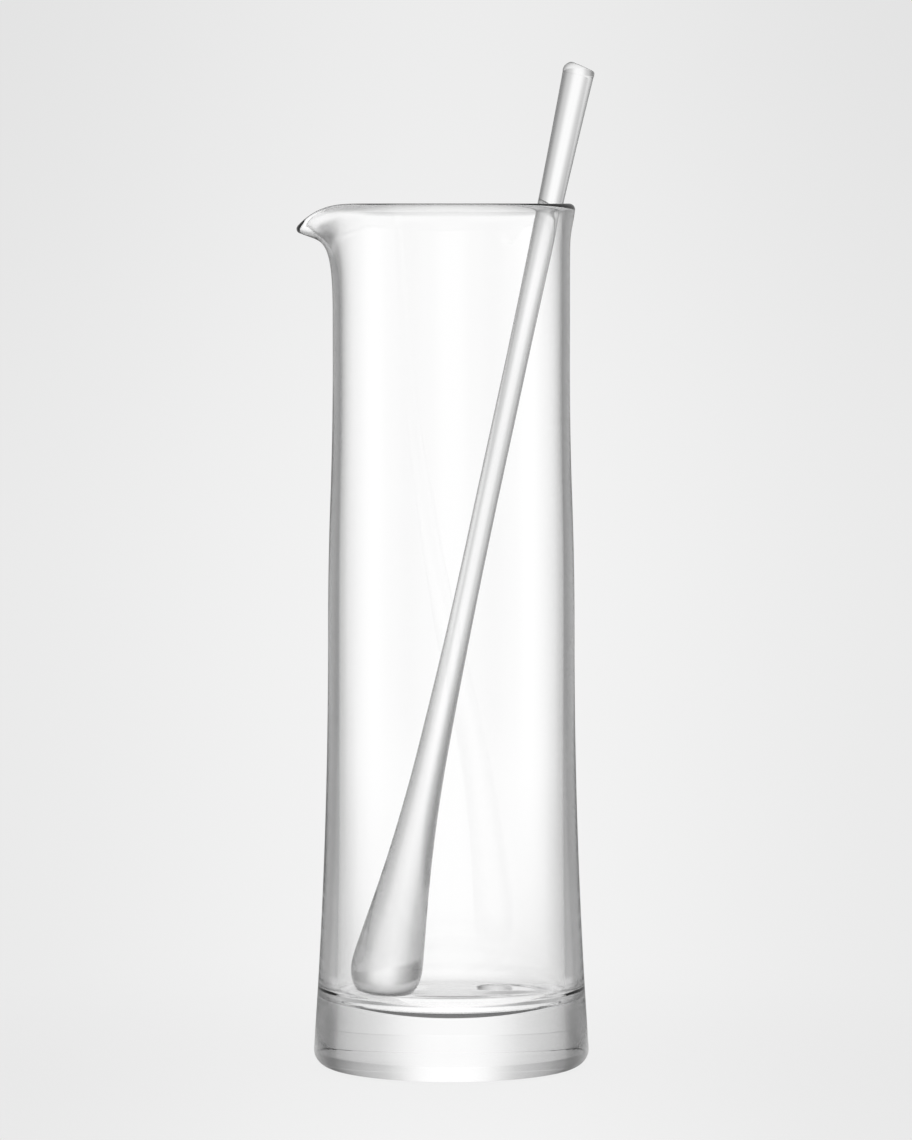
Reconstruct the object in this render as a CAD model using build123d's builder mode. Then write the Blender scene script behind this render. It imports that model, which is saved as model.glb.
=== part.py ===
from build123d import *
import os
from math import acos, atan2, cos, exp, hypot, radians, sin, sqrt

# A tall cocktail pitcher of clear glass with its solid glass stirrer, in millimetres.
# The pitcher stands on Z = 0 with its axis on Z, and its spout points along -X.
# The stirrer leans in the XZ plane, from its bulb on the floor at -X to the lip at +X.

# Pitcher: overall sizes
pitcher_height = 300.0
foot_radius = 48.4
belly_radius = 42.87
belly_height = 150.0
neck_radius = 41.1
neck_length = 17.0

# Pitcher: solid foot and inside, a little wider over its dished floor
foot_thickness = 17.5
foot_corner_radius = 5.6
floor_dish_radius = 120.0
floor_radius = 40.2
floor_corner_radius = 7.0
bore_radius = 39.1
bore_flare_height = 105.0
neck_wall = 2.6

# Pitcher: rounded lip on a slightly flared rim
lip_outer_radius = 42.85
lip_thickness = 4.2
rim_rise = 20.0
rim_flare_length = 8.0
rim_flare_angle = 8.0

# Pitcher: pulled spout
throat_depth = 38.0
spout_reach = 53.6
spout_drop = 8.8
spout_lip_thickness = 3.1
spout_wall = 2.0
spout_pull_angle = 15.5
spout_dip_angle = 10.5
spout_rise_angle = 22.0
throat_rise = 26.0
trough_length = 9.5

# Stirrer
stirrer_length = 335.3
bulb_radius = 12.6
bulb_offset = 22.8
shaft_radius = 3.8
top_radius = 5.55
top_flare_length = 112.0
top_round_radius = 3.4
top_cut_angle = 12.0
top_cut_drop = 0.75
top_edge_radius = 0.6
seat_clearance = 0.3

# The bulb draws out into the shaft along a cone and two arcs, which start at these
# angles from the shaft and make up these shares of the change in radius.
drawn_cone_angle = 7.7
drawn_arc_angle = 2.0
drawn_cone_share = 0.29
drawn_arc_share = 0.55

# Stations along the wall of the throat, from the neck to the lip
throat_shares = (0.0, 0.3, 0.55, 0.72, 0.86, 1.0)
lip_swell_share = 0.5

full_turn = 360
right_angle = 90

# The spout is lofted over this many of its widths to each side, in this many sections,
# and joined to the round throat where their faces lie within this distance.
sector_share = 4
section_count = 21
seam_tolerance = 0.01

os.makedirs("parts", exist_ok=True)

# Places that follow from the sizes
throat_start = pitcher_height - throat_depth
neck_height = throat_start - neck_length
throat_bore_radius = neck_radius - neck_wall
throat_mid_radius = neck_radius - neck_wall / 2
lip_radius = lip_thickness / 2
lip_centre = (lip_outer_radius - lip_radius, pitcher_height - lip_radius)
spout_lip_radius = spout_lip_thickness / 2
spout_centre = (spout_reach - spout_lip_radius, pitcher_height - spout_drop)
dish_height = foot_thickness + floor_dish_radius
floor_edge_height = dish_height - sqrt(floor_dish_radius**2 - floor_radius**2)
half_sector = sector_share * max(spout_pull_angle, spout_dip_angle)


def mix(start, end, share):
    """The value at this share of the way from start to end."""
    return start + (end - start) * share


def ease(share):
    """A smooth step from 0 to 1."""
    kept = min(max(share, 0.0), 1.0)
    return kept**3 * (10 - 15 * kept + 6 * kept**2)


def bell(angle, spread):
    """1 in the middle of the spout, falling away on both sides of it."""
    return exp(-((angle / spread) ** 2) / 2)


class WallSection:
    """The throat's wall on a plane through the axis, this many degrees from the spout.

    Its points are pairs of radius and height. The middle of the wall is one cubic
    curve from the neck to the centre of the rounded lip."""

    def __init__(self, angle):
        pull = bell(angle, spout_pull_angle)
        dip = bell(angle, spout_dip_angle)
        slope = radians(mix(right_angle - rim_flare_angle, spout_rise_angle, pull))
        lip_x = mix(lip_centre[0], spout_centre[0], pull)
        lip_z = mix(lip_centre[1], spout_centre[1], dip)
        rise = mix(rim_rise, throat_rise, pull)
        run = mix(rim_flare_length, trough_length, pull)
        self.pull = pull
        self.lip_radius = mix(lip_radius, spout_lip_radius, pull)
        self.poles = (
            (throat_mid_radius, throat_start),
            (throat_mid_radius, throat_start + rise),
            (lip_x - run * cos(slope), lip_z - run * sin(slope)),
            (lip_x, lip_z),
        )

    def middle(self, share):
        """The point in the middle of the wall."""
        rest = 1 - share
        weights = (rest**3, 3 * rest**2 * share, 3 * rest * share**2, share**3)
        x = sum(weight * pole[0] for weight, pole in zip(weights, self.poles))
        z = sum(weight * pole[1] for weight, pole in zip(weights, self.poles))
        return x, z

    def direction(self, share):
        """The unit direction along the wall, towards the lip."""
        rest = 1 - share
        weights = (rest**2, 2 * rest * share, share**2)
        steps = [
            (after[0] - before[0], after[1] - before[1])
            for before, after in zip(self.poles, self.poles[1:])
        ]
        x = sum(weight * step[0] for weight, step in zip(weights, steps))
        z = sum(weight * step[1] for weight, step in zip(weights, steps))
        length = hypot(x, z)
        return x / length, z / length

    def half_wall(self, share):
        """Half the wall's thickness, which swells into the lip."""
        wall = mix(neck_wall, spout_wall, self.pull * ease(share)) / 2
        swell = (share - lip_swell_share) / (1 - lip_swell_share)
        return mix(wall, self.lip_radius, ease(swell))

    def side(self, share, outward):
        """The point on the outer face for outward 1, or on the inner face for -1."""
        x, z = self.middle(share)
        along_x, along_z = self.direction(share)
        half = self.half_wall(share)
        return x + outward * half * along_z, z - outward * half * along_x

    def crest(self):
        """The outermost point of the rounded lip."""
        x, z = self.middle(1)
        along_x, along_z = self.direction(1)
        return x + self.lip_radius * along_x, z + self.lip_radius * along_z

    def draw(self):
        """Adds the closed outline of the wall to the line being built."""
        outer = [self.side(share, 1) for share in throat_shares]
        inner = [self.side(share, -1) for share in reversed(throat_shares)]
        end = self.direction(1)
        Spline(*outer, tangents=((0, 1), end))
        ThreePointArc(outer[-1], self.crest(), inner[0])
        Spline(*inner, tangents=((-end[0], -end[1]), (0, -1)))
        Line(inner[-1], outer[0])


def plane_through_axis(angle):
    """The plane through the axis at this angle from the spout, with X outwards."""
    outwards = Vector(-cos(radians(angle)), sin(radians(angle)), 0)
    return Plane(origin=(0, 0, 0), x_dir=outwards, z_dir=outwards.cross(Vector(0, 0, 1)))


def s_curve(low, high):
    """Two equal arcs from one upright line to another, from the low to the high point."""
    middle = ((low[0] + high[0]) / 2, (low[1] + high[1]) / 2)
    TangentArc(low, middle, tangent=(0, 1))
    TangentArc(high, middle, tangent=(0, -1))


# Spout: the throat's wall, lofted from section to section round its front
with BuildPart() as spout:
    for section in range(section_count):
        angle = mix(-half_sector, half_sector, section / (section_count - 1))
        with BuildSketch(plane_through_axis(angle)):
            with BuildLine():
                WallSection(angle).draw()
            make_face()
    loft()

# Jug: the round throat with its lip behind the spout, and the wall and foot below
with BuildPart() as jug:
    with BuildSketch(plane_through_axis(-half_sector)):
        with BuildLine():
            WallSection(full_turn / 2).draw()
        make_face()
    revolve(axis=Axis.Z, revolution_arc=full_turn - 2 * half_sector)

    with BuildSketch(Plane.XZ) as wall:
        with BuildLine():
            Line((0, foot_thickness), (0, 0))
            Line((0, 0), (foot_radius, 0))
            TangentArc((belly_radius, belly_height), (foot_radius, 0), tangent=(0, -1))
            s_curve((belly_radius, belly_height), (neck_radius, neck_height))
            Line((neck_radius, neck_height), (neck_radius, throat_start))
            Line((neck_radius, throat_start), (throat_bore_radius, throat_start))
            Line((throat_bore_radius, throat_start), (throat_bore_radius, neck_height))
            s_curve((bore_radius, belly_height), (throat_bore_radius, neck_height))
            Line((bore_radius, belly_height), (bore_radius, bore_flare_height))
            TangentArc(
                (bore_radius, bore_flare_height),
                (floor_radius, floor_edge_height),
                tangent=(0, -1),
            )
            TangentArc((0, foot_thickness), (floor_radius, floor_edge_height), tangent=(1, 0))
        make_face()
        corners = wall.vertices()
        fillet(corners.sort_by_distance((foot_radius, 0))[0], foot_corner_radius)
        corners = wall.vertices()
        fillet(
            corners.sort_by_distance((floor_radius, floor_edge_height))[0],
            floor_corner_radius,
        )
    revolve(axis=Axis.Z)

# Pitcher: the jug and its spout are one piece of glass
with BuildPart() as pitcher:
    add(jug.part.fuse(spout.part, tol=seam_tolerance))

pitcher.part.label = "pitcher"
export_step(pitcher.part, "parts/pitcher.step")

# Stirrer: its bulb stands on the floor, and its shaft leans on the inside of the lip.
bulb_reach = floor_dish_radius - bulb_radius - seat_clearance
bulb_height = dish_height - sqrt(bulb_reach**2 - bulb_offset**2)
top_station = stirrer_length - bulb_radius
flare_station = top_station - top_flare_length
to_lip_x = lip_centre[0] + bulb_offset
to_lip_z = lip_centre[1] - bulb_height
to_lip = hypot(to_lip_x, to_lip_z)
flare_share = max(to_lip - flare_station, 0) / top_flare_length
shaft_at_lip = mix(shaft_radius, top_radius, flare_share**2)
lip_gap = lip_radius + shaft_at_lip + seat_clearance
lean = acos(lip_gap / to_lip) - atan2(to_lip_z, to_lip_x)

# The plane of the lean has its origin in the bulb and its Y along the shaft.
lean_plane = Plane(
    origin=(-bulb_offset, 0, bulb_height),
    x_dir=(cos(lean), 0, -sin(lean)),
    z_dir=(0, -1, 0),
)

# Two arcs of growing radius between the drawn cone and the shaft
cone_slope = radians(drawn_cone_angle)
arc_slope = radians(drawn_arc_angle)
drawn_drop = bulb_radius * cos(cone_slope) - shaft_radius
cone_length = drawn_drop * drawn_cone_share / sin(cone_slope)
first_drop = drawn_drop * drawn_arc_share
first_radius = first_drop / (cos(arc_slope) - cos(cone_slope))
second_drop = drawn_drop * (1 - drawn_cone_share - drawn_arc_share)
second_radius = second_drop / (1 - cos(arc_slope))

with BuildPart() as stirrer:
    with BuildSketch(lean_plane) as half_rod:
        with BuildLine():
            bulb = JernArc(
                (0, -bulb_radius), (1, 0), bulb_radius, right_angle + drawn_cone_angle
            )
            cone = PolarLine(bulb @ 1, cone_length, direction=bulb % 1)
            first = JernArc(
                cone @ 1, cone % 1, first_radius, drawn_arc_angle - drawn_cone_angle
            )
            second = JernArc(first @ 1, first % 1, second_radius, -drawn_arc_angle)
            Line(second @ 1, (shaft_radius, flare_station))
            TangentArc(
                (shaft_radius, flare_station), (top_radius, top_station), tangent=(0, 1)
            )
            Line((top_radius, top_station), (0, top_station))
            Line((0, top_station), (0, -bulb_radius))
        make_face()
        corners = half_rod.vertices()
        fillet(corners.sort_by_distance((top_radius, top_station))[0], top_round_radius)
    revolve(axis=Axis(lean_plane.origin, lean_plane.y_dir))

    # Slanted end, cut lower on the side that faces the lip
    cut_plane = Plane(
        origin=lean_plane.from_local_coords((0, top_station - top_cut_drop, 0)),
        x_dir=lean_plane.z_dir,
        z_dir=lean_plane.y_dir.rotate(Axis((0, 0, 0), (0, 1, 0)), top_cut_angle),
    )
    split(bisect_by=cut_plane, keep=Keep.BOTTOM)
    fillet(stirrer.faces().sort_by(Axis.Z)[-1].edges(), top_edge_radius)

stirrer.part.label = "stirrer"
export_step(stirrer.part, "parts/stirrer.step")
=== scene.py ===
from math import acos, atan2, cos, exp, hypot, pi, radians, sin, sqrt, tan

import bpy
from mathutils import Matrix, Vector


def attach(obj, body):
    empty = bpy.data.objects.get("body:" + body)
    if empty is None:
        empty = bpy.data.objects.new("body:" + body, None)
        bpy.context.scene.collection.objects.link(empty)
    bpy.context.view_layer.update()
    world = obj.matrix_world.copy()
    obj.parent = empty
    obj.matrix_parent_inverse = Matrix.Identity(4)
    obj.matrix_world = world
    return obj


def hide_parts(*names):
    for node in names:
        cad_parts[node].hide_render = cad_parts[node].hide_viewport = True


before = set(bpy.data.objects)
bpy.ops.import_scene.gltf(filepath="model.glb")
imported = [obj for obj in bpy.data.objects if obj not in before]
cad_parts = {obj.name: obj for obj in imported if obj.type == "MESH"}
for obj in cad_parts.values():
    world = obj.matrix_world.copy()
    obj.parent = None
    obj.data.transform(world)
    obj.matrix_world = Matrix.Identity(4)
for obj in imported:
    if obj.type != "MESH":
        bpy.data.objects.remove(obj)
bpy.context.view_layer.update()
scene = bpy.context.scene

# The glass is drawn again from the same sizes as the solids, with far finer facets than
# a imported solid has, because every facet of clear glass shows in what it refracts.
# The sizes are in millimetres, and the model is in metres.
mm = 0.001

# Pitcher: foot, wall and neck
pitcher_height = 300.0
foot_radius = 48.4
foot_thickness = 17.5
foot_corner_radius = 5.6
belly_radius = 42.87
belly_height = 150.0
neck_radius = 41.1
neck_length = 17.0
neck_wall = 2.6
floor_dish_radius = 120.0
floor_radius = 40.2
floor_corner_radius = 7.0
bore_radius = 39.1
bore_flare_height = 105.0

# Pitcher: lip and spout
lip_outer_radius = 42.85
lip_radius = 2.1
lip_swell_share = 0.5
rim_rise = 20.0
rim_flare_length = 8.0
rim_flare_angle = radians(8.0)
throat_depth = 38.0
throat_rise = 26.0
trough_length = 9.5
spout_reach = 53.6
spout_drop = 8.8
spout_lip_radius = 1.55
spout_wall = 2.0
spout_pull_angle = radians(15.5)
spout_dip_angle = radians(10.5)
spout_rise_angle = radians(22.0)

# Stirrer
stirrer_length = 335.3
bulb_radius = 12.6
bulb_offset = 22.8
shaft_radius = 3.8
top_radius = 5.55
top_flare_length = 112.0
top_round_radius = 3.4
top_cut_angle = radians(12.0)
top_cut_drop = 0.75
top_edge_radius = 0.6
seat_clearance = 0.3
drawn_cone_angle = radians(7.7)
drawn_arc_angle = radians(2.0)
drawn_cone_share = 0.29
drawn_arc_share = 0.55

# The stirrer's bends ease into each other over this length, as hot glass does.
bend_blend = 9.0

# The wall is shaded as if it didn't swell, apart from this last share of its way to the lip.
lip_bead_share = 0.16

# A face whose normal points down as straight as this belongs to the flat underside.
straight_down = -0.9999

# Places that follow from the sizes
throat_start = pitcher_height - throat_depth
neck_height = throat_start - neck_length
throat_bore_radius = neck_radius - neck_wall
throat_mid_radius = neck_radius - neck_wall / 2
lip_centre = (lip_outer_radius - lip_radius, pitcher_height - lip_radius)
spout_centre = (spout_reach - spout_lip_radius, pitcher_height - spout_drop)
dish_height = foot_thickness + floor_dish_radius
top_station = stirrer_length - bulb_radius
flare_station = top_station - top_flare_length

# How finely the glass is divided: columns round it, and rows along its outline
pitcher_columns = 288
underside_rows = 14
foot_corner_rows = 14
foot_flare_rows = 34
shoulder_rows = 14
neck_rows = 5
lip_rows = 34
crest_rows = 20
bore_rows = 8
bore_flare_rows = 22
floor_corner_rows = 18
floor_rows = 14
stirrer_columns = 128
shaft_row_length = 1.0
end_length = 9.0
end_rows = 40
top_round_rows = 40
edge_rows = 6
face_rows = 10

# The floor's corner is fitted between two curves in this many rounds.
corner_rounds = 20

turn = 2 * pi
quarter = pi / 2


def mix(start, end, share):
    return start + (end - start) * share


def ease(share):
    """From 0 to 1 along a curve that starts and ends level and without a bend."""
    kept = min(max(share, 0.0), 1.0)
    return kept**3 * (10 - 15 * kept + 6 * kept**2)


def steps(count):
    """Even shares from 0 up to, but not with, 1."""
    return [step / count for step in range(count)]


def line(start, end, count):
    """Points on a straight line, without its last one."""
    return [(mix(start[0], end[0], s), mix(start[1], end[1], s)) for s in steps(count)]


def arc(centre, radius, start, end, count):
    """Points on an arc from one angle to another, without its last one."""
    angles = [mix(start, end, share) for share in steps(count)]
    return [(centre[0] + radius * cos(a), centre[1] + radius * sin(a)) for a in angles]


def half_s(upright, other, count):
    """Points from a spot on an upright wall to another, on an arc that starts upright."""
    across = other[0] - upright[0]
    along = other[1] - upright[1]
    radius = (across**2 + along**2) / (2 * abs(across))
    sweep = 2 * atan2(abs(across), abs(along))
    side = 1 if across > 0 else -1
    rising = 1 if along > 0 else -1
    angles = [sweep * share for share in steps(count)]
    return [
        (upright[0] + side * radius * (1 - cos(a)), upright[1] + rising * radius * sin(a))
        for a in angles
    ]


def s_curve(low, high, count):
    """Points between two upright walls, on two arcs that meet halfway."""
    middle = (mix(low[0], high[0], 0.5), mix(low[1], high[1], 0.5))
    upper = half_s(high, middle, count) + [middle]
    return half_s(low, middle, count) + upper[:0:-1]


# Pitcher: the outlines that are the same all round


def flare_arc(top, bottom):
    """Centre and radius of the arc that is upright at its top and ends at the bottom."""
    across = bottom[0] - top[0]
    along = top[1] - bottom[1]
    radius = (across**2 + along**2) / (2 * across)
    return (top[0] + radius, top[1]), radius


def outer_outline():
    """From the middle of the underside up to the throat."""
    centre, radius = flare_arc((belly_radius, belly_height), (foot_radius, 0.0))
    reach = radius + foot_corner_radius
    corner_z = foot_corner_radius
    corner_x = centre[0] - sqrt(reach**2 - (centre[1] - corner_z) ** 2)
    meet = atan2(centre[1] - corner_z, centre[0] - corner_x)
    corner = (corner_x, corner_z)
    belly = (belly_radius, belly_height)
    neck = (neck_radius, neck_height)

    points = line((0.0, 0.0), (corner_x, 0.0), underside_rows)
    points += arc(corner, foot_corner_radius, -quarter, meet, foot_corner_rows)
    points += arc(centre, radius, pi + meet, pi, foot_flare_rows)
    points += s_curve(belly, neck, shoulder_rows)
    points += line(neck, (neck_radius, throat_start), neck_rows)
    return points


def inner_outline():
    """From the throat down to the middle of the floor."""
    edge_height = dish_height - sqrt(floor_dish_radius**2 - floor_radius**2)
    centre, radius = flare_arc((bore_radius, bore_flare_height), (floor_radius, edge_height))

    # The rounded corner touches the flared wall and the dished floor.
    inside = floor_dish_radius - floor_corner_radius
    reach = radius + floor_corner_radius
    corner_x = floor_radius - floor_corner_radius
    for attempt in range(corner_rounds):
        corner_z = dish_height - sqrt(inside**2 - corner_x**2)
        corner_x = centre[0] - sqrt(reach**2 - (centre[1] - corner_z) ** 2)
    corner = (corner_x, corner_z)
    wall_meet = atan2(centre[1] - corner_z, centre[0] - corner_x)
    floor_meet = atan2(corner_z - dish_height, corner_x)
    neck = (throat_bore_radius, neck_height)
    belly = (bore_radius, belly_height)

    points = line((throat_bore_radius, throat_start), neck, neck_rows)
    points += (s_curve(belly, neck, shoulder_rows) + [neck])[:0:-1]
    points += line(belly, (bore_radius, bore_flare_height), bore_rows)
    points += arc(centre, radius, pi, pi + wall_meet, bore_flare_rows)
    points += arc(corner, floor_corner_radius, wall_meet, floor_meet, floor_corner_rows)
    points += arc((0.0, dish_height), floor_dish_radius, floor_meet, -quarter, floor_rows)
    return points


class WallSection:
    """The throat's wall on a plane through the axis, at this angle from the spout."""

    def __init__(self, angle):
        pull = exp(-((angle / spout_pull_angle) ** 2) / 2)
        dip = exp(-((angle / spout_dip_angle) ** 2) / 2)
        slope = mix(quarter - rim_flare_angle, spout_rise_angle, pull)
        lip_x = mix(lip_centre[0], spout_centre[0], pull)
        lip_z = mix(lip_centre[1], spout_centre[1], dip)
        rise = mix(rim_rise, throat_rise, pull)
        run = mix(rim_flare_length, trough_length, pull)
        self.pull = pull
        self.lip_radius = mix(lip_radius, spout_lip_radius, pull)
        self.poles = (
            (throat_mid_radius, throat_start),
            (throat_mid_radius, throat_start + rise),
            (lip_x - run * cos(slope), lip_z - run * sin(slope)),
            (lip_x, lip_z),
        )

    def middle(self, share):
        """A point halfway through the wall, at this share of the way to the lip."""
        rest = 1 - share
        weights = (rest**3, 3 * rest**2 * share, 3 * rest * share**2, share**3)
        return [
            sum(weight * pole[part] for weight, pole in zip(weights, self.poles))
            for part in (0, 1)
        ]

    def direction(self, share):
        """Which way the wall runs there, as a step of length 1."""
        rest = 1 - share
        weights = (rest**2, 2 * rest * share, share**2)
        pairs = list(zip(self.poles, self.poles[1:]))
        x = sum(w * (after[0] - before[0]) for w, (before, after) in zip(weights, pairs))
        z = sum(w * (after[1] - before[1]) for w, (before, after) in zip(weights, pairs))
        length = hypot(x, z)
        return x / length, z / length

    def half_wall(self, share):
        """Half of the wall's thickness there, which swells into the rounded lip."""
        wall = mix(neck_wall, spout_wall, self.pull * ease(share)) / 2
        swell = (share - lip_swell_share) / (1 - lip_swell_share)
        return mix(wall, self.lip_radius, ease(swell))

    def face_point(self, share, side):
        """A point on the outer face, side 1, or on the inner face, side -1."""
        x, z = self.middle(share)
        along_x, along_z = self.direction(share)
        half = self.half_wall(share)
        return x + side * half * along_z, z - side * half * along_x

    def outline(self):
        """Up the outer face, over the rounded lip and down the inner face."""
        shares = steps(lip_rows)
        points = [self.face_point(share, 1) for share in shares]
        along_x, along_z = self.direction(1)
        heading = atan2(along_z, along_x)
        ends = (heading - quarter, heading + quarter)
        points += arc(self.middle(1), self.lip_radius, *ends, crest_rows)
        points += [self.face_point(1 - share, -1) for share in shares]
        return points


def mesh_object(name, rings, first, last):
    """A closed skin over rings of points, with one point to close each end."""
    count = len(rings[0])
    vertices = [first] + [point for ring in rings for point in ring] + [last]
    end = len(vertices) - 1
    faces = []
    for column in range(count):
        following = (column + 1) % count
        faces.append((0, 1 + following, 1 + column))
        for row in range(len(rings) - 1):
            low = 1 + row * count
            high = low + count
            faces.append((low + column, low + following, high + following, high + column))
        top = 1 + (len(rings) - 1) * count
        faces.append((top + column, top + following, end))
    mesh = bpy.data.meshes.new(name)
    mesh.from_pydata([tuple(c * mm for c in point) for point in vertices], [], faces)
    mesh.shade_smooth()
    mesh.update()
    piece = bpy.data.objects.new(name, mesh)
    scene.collection.objects.link(piece)
    return piece


def calm_lip_normals(mesh, columns):
    """The normals of all points, as if the two faces of the swell under the lip were parallel.

    The spout keeps its own normals."""
    normals = [vertex.normal.copy() for vertex in mesh.vertices]
    first_row = len(outer_outline())
    for column, (angle, section) in enumerate(columns):
        outward = Vector((-cos(angle), -sin(angle), 0.0))
        for step in range(1, lip_rows):
            share = step / lip_rows
            along_x, along_z = section.direction(share)
            across = outward * along_z - Vector((0.0, 0.0, along_x))
            calm = (1 - section.pull) * ease((1 - share) / lip_bead_share)
            inner_row = first_row + 2 * lip_rows + crest_rows - step
            for row, side in ((first_row + step, 1), (inner_row, -1)):
                vertex = 1 + (row - 1) * pitcher_columns + column
                normals[vertex] = normals[vertex].lerp(side * across, calm).normalized()
    return normals


def shade_pitcher(mesh, columns):
    """Shading normals that keep the glass calm where its form is small and round.

    The swell under the lip is shaded as a plain wall, and the rounded corner of the foot
    as if it were upright. The points themselves stay where they are."""
    normals = calm_lip_normals(mesh, columns)
    corner_start = (foot_radius - 2 * foot_corner_radius) * mm
    corner_normals = [normals[loop.vertex_index] for loop in mesh.loops]
    for face in mesh.polygons:
        if face.center.z > foot_corner_radius * mm:
            continue
        rounded = face.normal.z > straight_down and face.center.xy.length > corner_start
        for loop in face.loop_indices:
            place = mesh.vertices[mesh.loops[loop].vertex_index].co
            upright = Vector((place.x, place.y, 0.0)).normalized()
            corner_normals[loop] = upright if rounded else Vector((0.0, 0.0, -1.0))
    mesh.normals_split_custom_set(corner_normals)


def make_pitcher():
    """Every column runs from the underside, over the lip and down to the floor."""
    below = outer_outline()
    above = inner_outline()
    columns = []
    for column in range(pitcher_columns):
        angle = turn * column / pitcher_columns
        columns.append((angle, WallSection(angle if angle <= pi else angle - turn)))
    outlines = [(angle, below + section.outline() + above) for angle, section in columns]
    rings = []
    for row in range(1, len(outlines[0][1])):
        rings.append([
            (-outline[row][0] * cos(angle), -outline[row][0] * sin(angle), outline[row][1])
            for angle, outline in outlines
        ])
    piece = mesh_object("pitcher_glass", rings, (0, 0, 0), (0, 0, foot_thickness))
    shade_pitcher(piece.data, columns)
    return piece


# Stirrer: its outline, along its own axis from the middle of the bulb, and its slanted end


def bent_line(start, bends, blend, step):
    """Points along a line that starts flat, from the lengths and turns of its bends.

    Each turn is spread over its bend, and eases into the next one over the blend."""
    stations = [0.0]
    headings = [0.0]
    for length, turned in bends:
        stations.append(stations[-1] + length)
        headings.append(headings[-1] + turned)
    last = len(bends) - 1

    def heading_sum(station):
        """The heading added up from the start, along straight changes of heading."""
        total = 0.0
        for at, (length, turned) in enumerate(bends):
            if at and station <= stations[at]:
                break
            end = station if at == last else min(station, stations[at + 1])
            span = end - stations[at]
            before = headings[at]
            after = before + turned * span / length
            total += span * (before + after) / 2
        return total

    points = [start]
    count = round(stations[-1] / step)
    size = stations[-1] / count
    for part in range(count):
        middle = (part + 0.5) * size
        after = heading_sum(middle + blend / 2)
        heading = (after - heading_sum(middle - blend / 2)) / blend
        x, z = points[-1]
        points.append((x + size * cos(heading), z + size * sin(heading)))
    return points


def point_along(points, lengths, wanted):
    """The point at this length along a line of points."""
    place = 0
    while place < len(points) - 2 and lengths[place + 1] < wanted:
        place += 1
    share = (wanted - lengths[place]) / (lengths[place + 1] - lengths[place])
    return tuple(mix(points[place][part], points[place + 1][part], share) for part in (0, 1))


def stirrer_bends():
    """Lengths and turns of the ball, its cone, the two arcs into the shaft, and the flare."""
    drop = bulb_radius * cos(drawn_cone_angle) - shaft_radius
    cone_length = drop * drawn_cone_share / sin(drawn_cone_angle)
    first_radius = drop * drawn_arc_share / (cos(drawn_arc_angle) - cos(drawn_cone_angle))
    second_radius = drop * (1 - drawn_cone_share - drawn_arc_share) / (1 - cos(drawn_arc_angle))
    drawn_end = bulb_radius * sin(drawn_cone_angle) + cone_length * cos(drawn_cone_angle)
    drawn_end += first_radius * (sin(drawn_cone_angle) - sin(drawn_arc_angle))
    drawn_end += second_radius * sin(drawn_arc_angle)
    grown = top_radius - shaft_radius
    flare_radius = (grown**2 + top_flare_length**2) / (2 * grown)
    flare_angle = 2 * atan2(grown, top_flare_length)
    return [
        (bulb_radius * (quarter + drawn_cone_angle), quarter + drawn_cone_angle),
        (cone_length, 0.0),
        (first_radius * (drawn_cone_angle - drawn_arc_angle), drawn_arc_angle - drawn_cone_angle),
        (second_radius * drawn_arc_angle, -drawn_arc_angle),
        (flare_station - drawn_end, 0.0),
        (flare_radius * flare_angle, -flare_angle),
    ]


def stirrer_side():
    """The round outline up to where the end starts, and from there over its rounded top."""
    side = bent_line((0.0, -bulb_radius), stirrer_bends(), bend_blend, shaft_row_length)

    # Easing the bends moves the line a little, so it is put back where it should end.
    off = (top_radius - side[-1][0], top_station - side[-1][1])
    last_row = len(side) - 1
    side = [
        (x + off[0] * row / last_row, z + off[1] * row / last_row)
        for row, (x, z) in enumerate(side)
    ]
    round_top = top_station - top_round_radius
    round_centre = (top_radius - top_round_radius, round_top)
    side = [point for point in side if point[1] < round_top]
    shaft_part = [point for point in side if point[1] < round_top - end_length]
    end_part = side[len(shaft_part) - 1:]
    end_part += arc(round_centre, top_round_radius, 0.0, quarter, top_round_rows)
    end_part.append((round_centre[0], top_station))
    return shaft_part, end_part


def cut_height(x):
    """How far up the slanted cut is, at this place across the top."""
    return top_station - top_cut_drop - x * tan(top_cut_angle)


def end_column(end_part, angle):
    """Points up one column of the end, over the cut's rounded edge and in over its face."""
    kept = [end_part[0]]
    for before, after in zip(end_part, end_part[1:]):
        over = after[1] - cut_height(after[0] * cos(angle))
        if over >= 0:
            under = cut_height(before[0] * cos(angle)) - before[1]
            share = under / (under + over)
            kept.append((mix(before[0], after[0], share), mix(before[1], after[1], share)))
            break
        kept.append(after)
    lengths = [0.0]
    for before, after in zip(kept, kept[1:]):
        lengths.append(lengths[-1] + hypot(after[0] - before[0], after[1] - before[1]))

    points = []
    for row in range(end_rows + 1):
        wanted = (lengths[-1] - top_edge_radius) * row / end_rows
        points.append(point_along(kept, lengths, wanted))
    before = points[-1]
    corner = kept[-1]
    inset = corner[0] - top_edge_radius
    after = (inset, cut_height(inset * cos(angle)))
    for row in range(1, edge_rows + 1):
        share = row / edge_rows
        weights = ((1 - share) ** 2, 2 * share * (1 - share), share**2)
        points.append(tuple(
            sum(w * spot[part] for w, spot in zip(weights, (before, corner, after)))
            for part in (0, 1)
        ))
    for share in steps(face_rows)[1:]:
        radius = mix(inset, 0.0, share)
        points.append((radius, cut_height(radius * cos(angle))))
    return points


def stirrer_lean(bulb_height):
    """The angle from upright at which the shaft rests against the lip."""
    to_lip_x = lip_centre[0] + bulb_offset
    to_lip_z = lip_centre[1] - bulb_height
    to_lip = hypot(to_lip_x, to_lip_z)
    flare_share = (to_lip - flare_station) / top_flare_length
    shaft_at_lip = mix(shaft_radius, top_radius, flare_share**2)
    lip_gap = lip_radius + shaft_at_lip + seat_clearance
    return acos(lip_gap / to_lip) - atan2(to_lip_z, to_lip_x)


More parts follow.
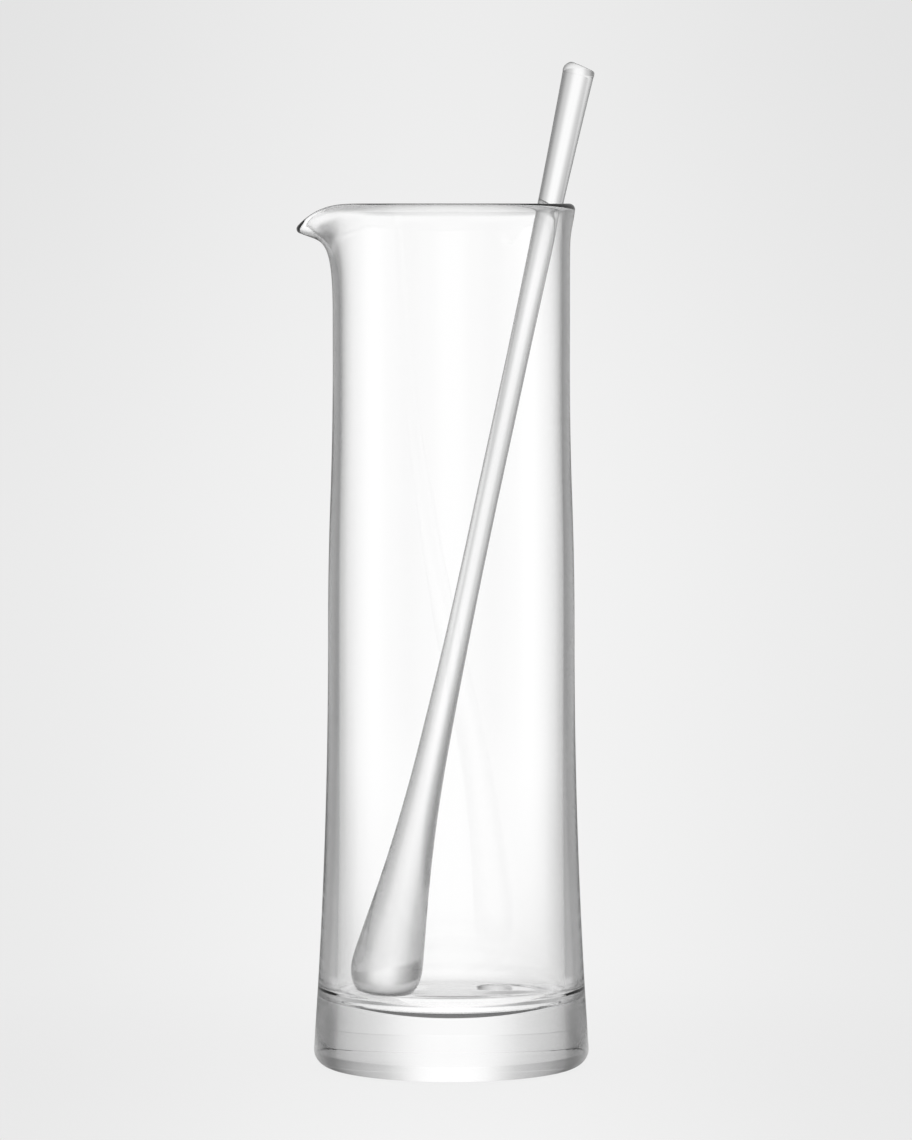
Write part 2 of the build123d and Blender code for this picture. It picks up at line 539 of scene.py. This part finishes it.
def make_stirrer():
    """Every column runs from the bulb's lowest point to the middle of the slanted cut."""
    bulb_reach = floor_dish_radius - bulb_radius - seat_clearance
    bulb_height = dish_height - sqrt(bulb_reach**2 - bulb_offset**2)
    lean = stirrer_lean(bulb_height)
    across = Vector((cos(lean), 0, -sin(lean)))
    along = Vector((sin(lean), 0, cos(lean)))
    side_way = Vector((0, 1, 0))
    origin = Vector((-bulb_offset, 0, bulb_height))

    shaft_part, end_part = stirrer_side()
    columns = []
    for column in range(stirrer_columns):
        angle = turn * column / stirrer_columns
        outwards = across * cos(angle) + side_way * sin(angle)
        points = shaft_part[1:-1] + end_column(end_part, angle)
        columns.append([tuple(origin + along * z + outwards * x) for x, z in points])
    rings = list(zip(*columns))
    first = tuple(origin - along * bulb_radius)
    last = tuple(origin + along * cut_height(0.0))
    return mesh_object("stirrer_glass", rings, first, last)


# Nodes that the materials and the studio share


def value_or_link(links, socket, value):
    if isinstance(value, (int, float)):
        socket.default_value = value
    else:
        links.new(value, socket)


def math_node(tree, operation, *values, clamp=False):
    node = tree.nodes.new("ShaderNodeMath")
    node.operation = operation
    node.use_clamp = clamp
    for socket, value in zip(node.inputs, values):
        value_or_link(tree.links, socket, value)
    return node.outputs["Value"]


def smooth_step(tree, value, start, end, low=0.0, high=1.0):
    node = tree.nodes.new("ShaderNodeMapRange")
    node.interpolation_type = "SMOOTHSTEP"
    node.inputs["From Min"].default_value = start
    node.inputs["From Max"].default_value = end
    node.inputs["To Min"].default_value = low
    node.inputs["To Max"].default_value = high
    tree.links.new(value, node.inputs["Value"])
    return node.outputs["Result"]


def choose(tree, factor, value, other):
    """The other value where the factor is 1."""
    node = tree.nodes.new("ShaderNodeMix")
    node.data_type = "FLOAT"
    value_or_link(tree.links, node.inputs["Factor"], factor)
    value_or_link(tree.links, node.inputs["A"], value)
    value_or_link(tree.links, node.inputs["B"], other)
    return node.outputs["Result"]


def curve(tree, value, points):
    """A smooth curve through pairs of a place and a level, both from 0 to 1."""
    node = tree.nodes.new("ShaderNodeFloatCurve")
    mapped = node.mapping.curves[0]
    while len(mapped.points) < len(points):
        mapped.points.new(0.5, 0.5)
    for spot, (place, level) in zip(mapped.points, points):
        spot.location = (place, level)
    node.mapping.update()
    tree.links.new(value, node.inputs["Value"])
    return node.outputs["Value"]


def mix_shaders(tree, factor, first, second):
    """The second shader where the factor is 1."""
    node = tree.nodes.new("ShaderNodeMixShader")
    tree.links.new(factor, node.inputs["Fac"])
    tree.links.new(first, node.inputs[1])
    tree.links.new(second, node.inputs[2])
    return node.outputs["Shader"]


# Glass: the size and depth of each ripple are in metres.
glass_index = 1.5
pitcher_ripple = (0.025, 0.00004)
stirrer_ripple = (0.018, 0.00003)
ripple_stretch = (1.0, 1.0, 0.35)

# The outer skin starts this far inside the neck's face, and the lip's painted shade, a darker rim
# in the base colour, takes over between these two depths under the rim, in lip radii.
skin_depth = 0.5
lip_shade_start = 1.7
lip_shade_end = 0.85

# Painted shade: the glass's base colour by how glancing the view is, darker at its edges: 0 is
# straight on
wall_painted_shades = (
    (0.0, 1.0), (0.42, 1.0), (0.50, 0.88), (0.56, 0.70), (0.60, 0.46), (0.64, 0.28),
    (0.72, 0.26), (0.82, 0.24), (1.0, 0.24),
)
foot_painted_shades = (
    (0.0, 1.0), (0.04, 0.95), (0.10, 0.80), (0.15, 0.68), (0.22, 0.60), (0.31, 0.53),
    (0.38, 0.43), (0.44, 0.31), (0.49, 0.16), (0.56, 0.10), (0.68, 0.12), (1.0, 0.12),
)
lip_painted_shades = ((0.0, 0.87), (0.08, 0.79), (0.18, 0.60), (0.4, 0.36), (0.6, 0.22), (1.0, 0.14))
stirrer_painted_shades = (
    (0.0, 0.96), (0.05, 0.94), (0.1, 0.90), (0.2, 0.84), (0.3, 0.74), (0.42, 0.54),
    (0.56, 0.28), (0.70, 0.15), (1.0, 0.10),
)
bulb_painted_shades = (
    (0.0, 1.0), (0.05, 0.89), (0.12, 0.70), (0.2, 0.52), (0.3, 0.44), (0.45, 0.38),
    (0.6, 0.30), (0.8, 0.18), (1.0, 0.12),
)

# How much the foot's or the bulb's painted shade counts, by the share of the pitcher's height
foot_fade = (
    (0.0, 1.0), (0.06, 1.0), (0.11, 0.46), (0.16, 0.38), (0.20, 0.26), (0.25, 0.20),
    (0.5, 0.0), (1.0, 0.0),
)
bulb_fade = ((0.0, 1.0), (0.36, 1.0), (0.57, 0.0), (1.0, 0.0))


def add_ripple(tree, shader, place, ripple):
    """The faint ripple of a surface that was polished in a flame."""
    size, depth = ripple
    stretch = tree.nodes.new("ShaderNodeMapping")
    stretch.inputs["Scale"].default_value = ripple_stretch
    noise = tree.nodes.new("ShaderNodeTexNoise")
    noise.inputs["Scale"].default_value = 1.0 / size
    noise.inputs["Detail"].default_value = 1.0
    bump = tree.nodes.new("ShaderNodeBump")
    bump.inputs["Distance"].default_value = depth
    tree.links.new(place.outputs["Object"], stretch.inputs["Vector"])
    tree.links.new(stretch.outputs["Vector"], noise.inputs["Vector"])
    tree.links.new(noise.outputs["Fac"], bump.inputs["Height"])
    tree.links.new(bump.outputs["Normal"], shader.inputs["Normal"])


def paint_shade_on_outer_skin(tree, split, painted_shade):
    """The bore is left clear, so that each wall's painted shade darkens its outer face alone."""
    across = math_node(tree, "POWER", split.outputs["X"], 2.0)
    across = math_node(tree, "ADD", across, math_node(tree, "POWER", split.outputs["Y"], 2.0))
    across = math_node(tree, "SQRT", across)
    skin = smooth_step(tree, across, (neck_radius - skin_depth) * mm, neck_radius * mm)
    return choose(tree, skin, 1.0, painted_shade)


def add_glass(name, ripple, edge_painted_shades, low_painted_shades, low_fade, rim_painted_shades=None):
    """Clear glass with painted shade in its base colour, darker where it is seen at a glancing
    angle.

    The low painted shade takes over towards the thick glass at the bottom, and the rim's
    painted shade, where there is any, at the lip."""
    material = bpy.data.materials.new(name)
    material.use_nodes = True
    tree = material.node_tree
    shader = tree.nodes["Principled BSDF"]
    shader.inputs["Roughness"].default_value = 0.0
    shader.inputs["IOR"].default_value = glass_index
    shader.inputs["Transmission Weight"].default_value = 1.0
    place = tree.nodes.new("ShaderNodeTexCoord")
    add_ripple(tree, shader, place, ripple)

    # Painted shade: the base colour darkens by how glancing the view is.
    glance = tree.nodes.new("ShaderNodeLayerWeight")
    glance.inputs["Blend"].default_value = 0.5
    facing = glance.outputs["Facing"]
    split = tree.nodes.new("ShaderNodeSeparateXYZ")
    tree.links.new(place.outputs["Object"], split.inputs["Vector"])
    height = math_node(tree, "DIVIDE", split.outputs["Z"], pitcher_height * mm, clamp=True)
    low = curve(tree, height, low_fade)
    painted_shade = choose(tree, low, curve(tree, facing, edge_painted_shades), curve(tree, facing, low_painted_shades))
    if rim_painted_shades:
        painted_shade = paint_shade_on_outer_skin(tree, split, painted_shade)
        lip_start = (pitcher_height - lip_shade_start * lip_radius) * mm
        lip_end = (pitcher_height - lip_shade_end * lip_radius) * mm
        lip = smooth_step(tree, split.outputs["Z"], lip_start, lip_end)
        painted_shade = choose(tree, lip, painted_shade, curve(tree, facing, rim_painted_shades))
    tree.links.new(painted_shade, shader.inputs["Base Color"])
    return material


# Both glasses carry painted shade at their glancing edges, in their base colour.
pitcher = make_pitcher()
pitcher.data.materials.append(add_glass(
    "clear_pitcher_glass", pitcher_ripple, wall_painted_shades, foot_painted_shades, foot_fade, lip_painted_shades
))
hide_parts("pitcher")
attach(pitcher, "pitcher")

stirrer = make_stirrer()
stirrer.data.materials.append(add_glass(
    "clear_stirrer_glass", stirrer_ripple, stirrer_painted_shades, bulb_painted_shades, bulb_fade
))
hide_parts("stirrer")
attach(stirrer, "stirrer")

# Studio: pale all round, and brightest straight behind the glass, seen along X or Y.
# Near the level, its light follows these levels, by degrees round from X or Y.
fold_degrees = 45
around_levels = (
    (0, 0.80), (2.5, 0.815), (5.5, 0.81), (8.5, 0.79), (12, 0.73), (16, 0.64), (20, 0.57),
    (26, 0.53), (33, 0.46), (40, 0.38), (45, 0.36),
)
studio_strength = 1.28

# Away from the level these take over, each between two heights in degrees: the plain one
# up and down alike, and the one above only behind the glass, between two places along Y.
plain_level = 0.99
plain_rise = (8, 11)
above_level = 0.17
above_rise = (15, 30)
behind_glass = (-0.35, -0.1)
overhead_level = 0.42
overhead_rise = (42, 50)
below_level = 1.08
below_rise = (-16, -30)

# What the glass mirrors, what lights the table, and the backdrop that the camera sees
mirrored_level = 0.3
table_light = 1.1
backdrop_middle = 0.90
backdrop_side = 0.825
backdrop_degrees = 5
backdrop_top = 0.93
backdrop_rise = (-4, 3)


def rise_step(tree, rise, degrees, low=0.0, high=1.0):
    """A smooth step between two heights, in degrees above the level."""
    start, end = degrees
    return smooth_step(tree, rise, sin(radians(start)), sin(radians(end)), low, high)


def studio_light(tree, direction, around):
    """What the glass sees of the studio through itself."""
    rise = direction.outputs["Z"]
    levels = [(degree / fold_degrees, level) for degree, level in around_levels]
    light = math_node(tree, "MULTIPLY", curve(tree, around, levels), studio_strength)
    plain = rise_step(tree, math_node(tree, "ABSOLUTE", rise), plain_rise)
    light = choose(tree, plain, light, plain_level)
    behind = smooth_step(tree, direction.outputs["Y"], *behind_glass)
    above = math_node(tree, "MULTIPLY", rise_step(tree, rise, above_rise), behind)
    light = choose(tree, above, light, above_level)
    light = choose(tree, rise_step(tree, rise, overhead_rise), light, overhead_level)
    return choose(tree, rise_step(tree, rise, below_rise), light, below_level)


def make_studio():
    world = bpy.data.worlds.new("studio")
    scene.world = world
    world.use_nodes = True
    tree = world.node_tree
    tree.nodes.clear()
    place = tree.nodes.new("ShaderNodeTexCoord")
    direction = tree.nodes.new("ShaderNodeSeparateXYZ")
    tree.links.new(place.outputs["Generated"], direction.inputs["Vector"])
    azimuth = math_node(tree, "ARCTAN2", direction.outputs["X"], direction.outputs["Y"])
    folded = math_node(tree, "PINGPONG", azimuth, quarter / 2)
    around = math_node(tree, "DIVIDE", folded, quarter / 2)
    light = studio_light(tree, direction, around)

    # A ray that has just been refracted counts as glossy too, and isn't a mirrored one.
    light_path = tree.nodes.new("ShaderNodeLightPath")
    glossy = light_path.outputs["Is Glossy Ray"]
    refracted = light_path.outputs["Is Transmission Ray"]
    mirrored = math_node(tree, "SUBTRACT", glossy, refracted, clamp=True)
    light = choose(tree, mirrored, light, mirrored_level)
    light = choose(tree, light_path.outputs["Is Diffuse Ray"], light, table_light)

    side_start = backdrop_degrees / fold_degrees
    across = smooth_step(tree, around, 0.0, side_start, backdrop_middle, backdrop_side)
    upward = rise_step(tree, direction.outputs["Z"], backdrop_rise, 1.0, backdrop_top)
    backdrop = math_node(tree, "MULTIPLY", across, upward)
    level = choose(tree, light_path.outputs["Is Camera Ray"], light, backdrop)
    background = tree.nodes.new("ShaderNodeBackground")
    tree.links.new(level, background.inputs["Color"])
    output = tree.nodes.new("ShaderNodeOutputWorld")
    tree.links.new(background.outputs["Background"], output.inputs["Surface"])


make_studio()

# Table: a pale round top, which fades into the backdrop away from the foot, in metres
table_size = 0.6
table_gap = 0.0002
table_columns = 96
table_colour = (0.9, 0.9, 0.9, 1.0)
table_roughness = 0.7
shadow_share = 0.06
shadow_fade = (0.05, 0.3)
mirror_fade = (0.05, 0.16)


def table_material():
    """A trace of the pale top with the foot's shadow, which is clear farther from the foot."""
    material = bpy.data.materials.new("pale_table")
    material.use_nodes = True
    tree = material.node_tree
    top = tree.nodes["Principled BSDF"]
    top.inputs["Base Color"].default_value = table_colour
    top.inputs["Roughness"].default_value = table_roughness
    clear = tree.nodes.new("ShaderNodeBsdfTransparent")
    place = tree.nodes.new("ShaderNodeTexCoord")
    length = tree.nodes.new("ShaderNodeVectorMath")
    length.operation = "LENGTH"
    tree.links.new(place.outputs["Object"], length.inputs[0])
    distance = length.outputs["Value"]
    light_path = tree.nodes.new("ShaderNodeLightPath")

    near = smooth_step(tree, distance, *shadow_fade, 1.0, 0.0)
    shadow = math_node(tree, "MULTIPLY", near, shadow_share)
    seen = mix_shaders(tree, shadow, clear.outputs["BSDF"], top.outputs["BSDF"])

    # Glass shows the studio through the table, and mirrors the table only beside the foot.
    away = smooth_step(tree, distance, *mirror_fade)
    away = math_node(tree, "MULTIPLY", away, light_path.outputs["Is Glossy Ray"])
    away = math_node(tree, "MAXIMUM", away, light_path.outputs["Is Transmission Ray"])
    lit = mix_shaders(tree, away, top.outputs["BSDF"], clear.outputs["BSDF"])
    final = mix_shaders(tree, light_path.outputs["Is Camera Ray"], lit, seen)
    tree.links.new(final, tree.nodes["Material Output"].inputs["Surface"])
    return material


edge = [
    (table_size * cos(turn * part), table_size * sin(turn * part), 0.0)
    for part in steps(table_columns)
]
table_mesh = bpy.data.meshes.new("table")
table_mesh.from_pydata(edge, [], [tuple(range(table_columns))])
table_mesh.materials.append(table_material())
table = bpy.data.objects.new("table", table_mesh)
table.location.z = -table_gap
scene.collection.objects.link(table)

# Camera: level with the rim, two metres away, looking slightly down at the belly
camera_distance = 2.056
camera_height = 0.3
camera_side = 0.00163
camera_pitch = radians(3.5379)
camera_lens = 187.195
camera_sensor = 36.0
camera_near = 0.01
camera_data = bpy.data.cameras.new("photo_camera")
camera_data.sensor_fit = "VERTICAL"
camera_data.sensor_height = camera_sensor
camera_data.lens = camera_lens
camera_data.clip_start = camera_near
camera = bpy.data.objects.new("photo_camera", camera_data)
camera.location = (camera_side, -camera_distance, camera_height)
camera.rotation_euler = (quarter - camera_pitch, 0.0, 0.0)
scene.collection.objects.link(camera)
scene.camera = camera

scene.view_settings.view_transform = "Standard"

# Light is mirrored many times inside the thick foot before it leaves the glass.
most_bounces = 32
most_mirrorings = 24
scene.cycles.max_bounces = most_bounces
scene.cycles.transmission_bounces = most_bounces
scene.cycles.glossy_bounces = most_mirrorings
